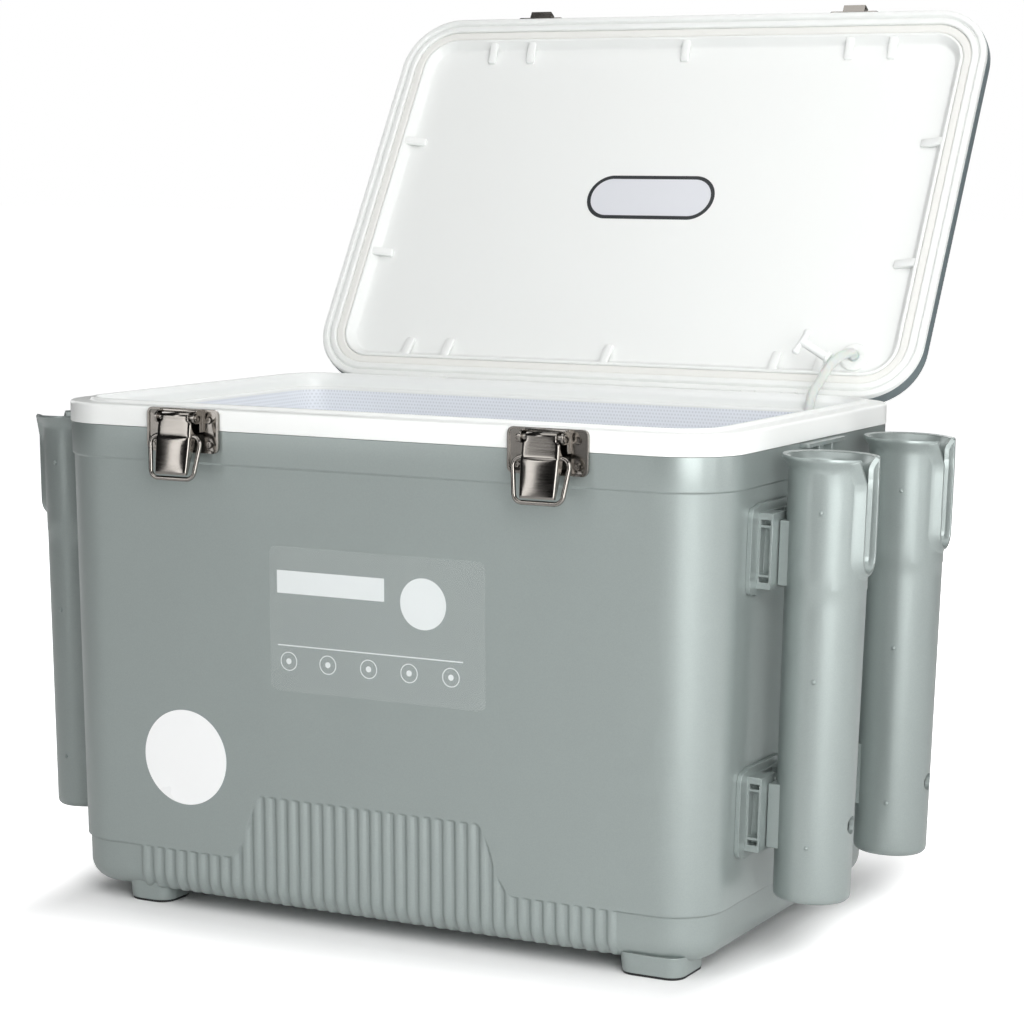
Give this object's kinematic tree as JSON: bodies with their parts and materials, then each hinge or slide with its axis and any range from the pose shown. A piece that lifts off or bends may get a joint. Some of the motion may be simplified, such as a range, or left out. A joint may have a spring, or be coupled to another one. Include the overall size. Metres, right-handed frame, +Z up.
{
  "type": "aerated bait bucket",
  "caption": "Insulated live bait bucket with a hinged lid, a net, a battery air pump with hose and stone, draw latches and lift-off rod holders.",
  "frame": {"origin": "on the floor, under the middle of the whole object's box with its lid standing open", "axes": "+X to the user's right as they face the latches, +Y from the latches to the hinges, +Z up"},
  "size_m": [0.6094, 0.5268, 0.6072],
  "materials": {
    "moulded_grey": "satin injection-moulded plastic with a fine metallic pigment",
    "lid_grey": "satin injection-moulded plastic",
    "rim_white": "satin white injection-moulded plastic",
    "foam": "blown polyurethane foam",
    "gasket": "soft white extruded seal",
    "black_rubber": "moulded rubber",
    "net_mesh": "knitted nylon net",
    "stainless": "pressed stainless steel",
    "motor_steel": "drawn steel can",
    "brass": "turned brass",
    "hose_clear": "soft extruded air tubing",
    "air_stone": "sintered mineral",
    "black_plastic": "moulded plastic",
    "pump_blue": "moulded plastic",
    "cell_jacket": "wrapped metal can",
    "chamber_plastic": "moulded plastic"
  },
  "bodies": {
    "tub": {"outer_shell": "moulded_grey", "inner_liner": "rim_white", "tub_insulation": "foam", "rubber_feet": "black_rubber", "net_bag": "net_mesh", "net_welt": "rim_white", "hinge_base_left": "rim_white", "hinge_base_right": "rim_white", "hinge_pin_left": "stainless", "hinge_pin_right": "stainless", "hinge_base_screws": "stainless", "latch_plate_left": "stainless", "latch_plate_right": "stainless", "latch_pin_left": "stainless", "latch_pin_right": "stainless", "latch_screws": "stainless", "rod_brackets_front_left": "moulded_grey", "rod_brackets_front_right": "moulded_grey", "rod_brackets_rear_left": "moulded_grey", "rod_brackets_rear_right": "moulded_grey", "bracket_screws": "stainless", "air_hose_top": "hose_clear", "hose_clip": "rim_white", "air_hose": "hose_clear", "air_stone": "air_stone"},
    "lid": {"lid_shell": "lid_grey", "lid_panel": "rim_white", "lid_insulation": "foam", "lid_gasket": "gasket", "hinge_arm_left": "rim_white", "hinge_arm_right": "rim_white", "hinge_arm_screws": "stainless", "latch_keepers": "stainless", "keeper_screws": "stainless", "lid_grommet": "rim_white", "outlet_elbow": "hose_clear", "pump_bracket": "black_plastic", "pump_screws": "stainless", "pump_case": "pump_blue", "pump_cover": "pump_blue", "battery_cells": "cell_jacket", "battery_springs": "stainless", "pump_motor": "motor_steel", "motor_crank": "brass", "pump_diaphragm": "black_rubber", "pump_chamber": "chamber_plastic"},
    "lever_left": {"latch_lever_left": "stainless"},
    "lever_right": {"latch_lever_right": "stainless"},
    "bail_left": {"latch_bail_left": "stainless"},
    "bail_right": {"latch_bail_right": "stainless"},
    "holder_front_left": {"rod_holder_front_left": "moulded_grey"},
    "holder_front_right": {"rod_holder_front_right": "moulded_grey"},
    "holder_rear_left": {"rod_holder_rear_left": "moulded_grey"},
    "holder_rear_right": {"rod_holder_rear_right": "moulded_grey"},
    "door": {"battery_door": "black_plastic"},
    "knob": {"speed_knob": "black_plastic"}
  },
  "joints": [
    {"name": "lid_hinge", "type": "hinge", "parent": "tub", "child": "lid", "pos_m": [0, 0.0773, 0.3268], "axis": [1, 0, 0], "range_deg": [0, 121], "deforming": ["air_hose_top", "hose_clip"]},
    {"name": "latch_lever_left_hinge", "type": "hinge", "parent": "tub", "child": "lever_left", "pos_m": [-0.13, -0.2552, 0.3258], "axis": [-1, 0, 0], "range_deg": [0, 150]},
    {"name": "latch_bail_left_hinge", "type": "hinge", "parent": "lever_left", "child": "bail_left", "pos_m": [-0.13, -0.2567, 0.314], "axis": [-1, 0, 0], "range_deg": [0, 183]},
    {"name": "latch_lever_right_hinge", "type": "hinge", "parent": "tub", "child": "lever_right", "pos_m": [0.13, -0.2552, 0.3258], "axis": [-1, 0, 0], "range_deg": [0, 150]},
    {"name": "latch_bail_right_hinge", "type": "hinge", "parent": "lever_right", "child": "bail_right", "pos_m": [0.13, -0.2567, 0.314], "axis": [-1, 0, 0], "range_deg": [0, 183]},
    {"name": "holder_front_left_lift", "type": "slide", "parent": "tub", "child": "holder_front_left", "axis": [-0.0262, 0, 0.9997], "range_m": [0, 0.048]},
    {"name": "holder_front_right_lift", "type": "slide", "parent": "tub", "child": "holder_front_right", "axis": [0.0262, 0, 0.9997], "range_m": [0, 0.048]},
    {"name": "holder_rear_left_lift", "type": "slide", "parent": "tub", "child": "holder_rear_left", "axis": [-0.0262, 0, 0.9997], "range_m": [0, 0.048]},
    {"name": "holder_rear_right_lift", "type": "slide", "parent": "tub", "child": "holder_rear_right", "axis": [0.0262, 0, 0.9997], "range_m": [0, 0.048]},
    {"name": "speed_knob_turn", "type": "hinge", "parent": "lid", "child": "knob", "pos_m": [0.178, 0.17516, 0.35375], "axis": [0, 0.8572, -0.515], "range_deg": [-135, 135]},
    {"name": "battery_door_slide", "type": "slide", "parent": "lid", "child": "door", "axis": [0, 0.515, 0.8572], "range_m": [0, 0.066]}
  ]
}
